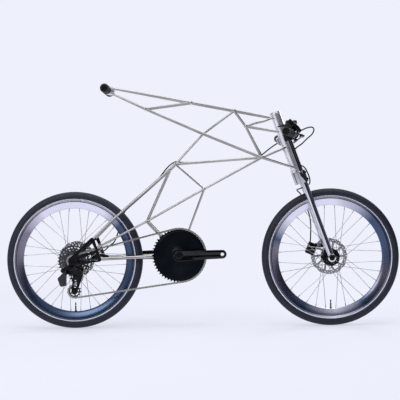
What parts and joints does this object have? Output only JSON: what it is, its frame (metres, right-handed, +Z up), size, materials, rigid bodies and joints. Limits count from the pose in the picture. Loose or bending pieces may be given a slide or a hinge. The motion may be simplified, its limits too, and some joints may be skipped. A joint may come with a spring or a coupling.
{
  "type": "mini velo bicycle",
  "caption": "Small-wheeled bicycle with a truss frame of thin polished tubes, disc brakes and a single solid chainring; it has no saddle or pedals.",
  "frame": {"origin": "on the ground, halfway between the two wheels' axles, in the bicycle's middle plane", "axes": "+X is forward, +Y is the rider's left, +Z is up; the chain is on the -Y side"},
  "size_m": [1.495, 0.5462, 0.924],
  "materials": {
    "polished_steel": "polished",
    "black_metal": "satin",
    "silver_alloy": "satin",
    "bright_steel": "brushed",
    "dark_rim": "polished",
    "tyre_rubber": "matte",
    "soft_rubber": "matte",
    "dark_steel": "dark",
    "black_plastic": "satin"
  },
  "bodies": {
    "frame_body": {"head_tube": "polished_steel", "top_chords": "polished_steel", "head_braces": "polished_steel", "lower_chords": "polished_steel", "long_chords": "polished_steel", "seat_stays": "polished_steel", "bottom_bracket_shell": "polished_steel", "right_rear_end": "black_metal", "left_rear_end": "black_metal", "crossbar_clamp": "silver_alloy", "rear_crossbar": "dark_steel", "right_sleeve": "soft_rubber", "left_sleeve": "soft_rubber", "upper_headset": "black_metal", "lower_headset": "black_metal", "rear_axle": "bright_steel", "rear_caliper": "black_metal", "rear_brake_hose": "black_plastic", "chain": "bright_steel", "upper_knuckle": "black_metal", "battery_pack": "black_plastic"},
    "steering_body": {"steerer": "bright_steel", "lower_crown": "silver_alloy", "right_fork_leg": "polished_steel", "left_fork_leg": "polished_steel", "right_bar_clamp": "black_metal", "left_bar_clamp": "black_metal", "handlebar": "black_metal", "right_grip": "soft_rubber", "left_grip": "soft_rubber", "right_lever_mount": "black_metal", "left_lever_mount": "black_metal", "shift_pod": "black_plastic", "front_axle": "bright_steel", "front_caliper": "black_metal", "front_brake_hose": "black_plastic", "steering_hose": "black_plastic"},
    "front_wheel_body": {"front_tyre": "tyre_rubber", "front_rim": "dark_rim", "front_hub_and_spokes": "bright_steel", "front_rotor": "bright_steel"},
    "rear_wheel_body": {"rear_tyre": "tyre_rubber", "rear_rim": "dark_rim", "rear_hub_and_spokes": "bright_steel", "rear_rotor": "bright_steel"},
    "cassette_body": {"cassette": "dark_steel"},
    "crank_body": {"chainring": "black_metal", "right_crank_arm": "black_metal", "left_crank_arm": "black_metal", "spindle": "bright_steel"},
    "outer_link_body": {"outer_link": "black_metal"},
    "inner_link_body": {"inner_link": "black_metal"},
    "lower_knuckle_body": {"lower_knuckle": "black_metal"},
    "cage_body": {"pulley_cage": "black_metal"},
    "guide_pulley_body": {"guide_pulley": "black_plastic"},
    "tension_pulley_body": {"tension_pulley": "black_plastic"},
    "right_lever_body": {"right_brake_lever": "black_metal"},
    "left_lever_body": {"left_brake_lever": "black_metal"},
    "paddle_body": {"shift_paddle": "black_plastic"}
  },
  "joints": [
    {"name": "steering", "type": "hinge", "parent": "frame_body", "child": "steering_body", "pos_m": [0.47509, 0, 0.2564], "axis": [-0.3256, 0, 0.9455], "range_deg": [-30, 30], "deforming": ["steering_hose"]},
    {"name": "front_wheel_spin", "type": "hinge", "parent": "steering_body", "child": "front_wheel_body", "pos_m": [0.487, 0, 0.2605], "axis": [0, 1, 0], "continuous": true},
    {"name": "rear_wheel_spin", "type": "hinge", "parent": "frame_body", "child": "rear_wheel_body", "pos_m": [-0.487, 0, 0.2605], "axis": [0, 1, 0], "continuous": true},
    {"name": "crank_spin", "type": "hinge", "parent": "frame_body", "child": "crank_body", "pos_m": [-0.0855, 0, 0.2755], "axis": [0, 1, 0], "continuous": true, "deforming": ["chain"]},
    {"name": "cassette_spin", "type": "hinge", "parent": "frame_body", "child": "cassette_body", "pos_m": [-0.487, 0, 0.2605], "axis": [0, 1, 0], "continuous": true},
    {"name": "derailleur_swing", "type": "hinge", "parent": "frame_body", "child": "outer_link_body", "pos_m": [-0.496, -0.0935, 0.2305], "axis": [0.3776, 0.7771, 0.5035], "range_deg": [0, 71], "deforming": ["chain"]},
    {"name": "inner_link_swing", "type": "hinge", "parent": "frame_body", "child": "inner_link_body", "pos_m": [-0.50113, -0.08658, 0.22366], "axis": [0.3776, 0.7771, 0.5035], "range_deg": [0, 71]},
    {"name": "lower_knuckle_swing", "type": "hinge", "parent": "outer_link_body", "child": "lower_knuckle_body", "pos_m": [-0.4538, -0.11132, 0.22636], "axis": [0.3776, 0.7771, 0.5035], "range_deg": [-71, 0]},
    {"name": "cage_swing", "type": "hinge", "parent": "lower_knuckle_body", "child": "cage_body", "pos_m": [-0.4538, -0.064, 0.22636], "axis": [0, 1, 0], "range_deg": [-45, 0], "stiffness_Nm_per_rad": 0.15, "springref_deg": 28.65, "deforming": ["chain"]},
    {"name": "guide_pulley_spin", "type": "hinge", "parent": "cage_body", "child": "guide_pulley_body", "pos_m": [-0.4739, -0.064, 0.20146], "axis": [0, 1, 0], "continuous": true},
    {"name": "tension_pulley_spin", "type": "hinge", "parent": "cage_body", "child": "tension_pulley_body", "pos_m": [-0.48112, -0.064, 0.14661], "axis": [0, 1, 0], "continuous": true},
    {"name": "right_lever_pull", "type": "hinge", "parent": "steering_body", "child": "right_lever_body", "pos_m": [0.37321, -0.139, 0.71699], "axis": [0.3907, 0, 0.9205], "range_deg": [-12, 0], "stiffness_Nm_per_rad": 0.8, "springref_deg": 8.59},
    {"name": "left_lever_pull", "type": "hinge", "parent": "steering_body", "child": "left_lever_body", "pos_m": [0.37321, 0.139, 0.71699], "axis": [0.3907, 0, 0.9205], "range_deg": [0, 12], "stiffness_Nm_per_rad": 0.8, "springref_deg": -8.59},
    {"name": "paddle_rock", "type": "hinge", "parent": "steering_body", "child": "paddle_body", "pos_m": [0.31085, -0.11, 0.75499], "axis": [0, 1, 0], "range_deg": [-10, 10], "stiffness_Nm_per_rad": 0.1}
  ],
  "couplings": [
    {"joint": "cassette_spin", "follows": "crank_spin", "ratio": 5},
    {"joint": "tension_pulley_spin", "follows": "crank_spin", "ratio": 4.1667},
    {"joint": "guide_pulley_spin", "follows": "crank_spin", "ratio": -4.1667},
    {"joint": "inner_link_swing", "follows": "derailleur_swing", "ratio": 1},
    {"joint": "lower_knuckle_swing", "follows": "derailleur_swing", "ratio": -1}
  ]
}
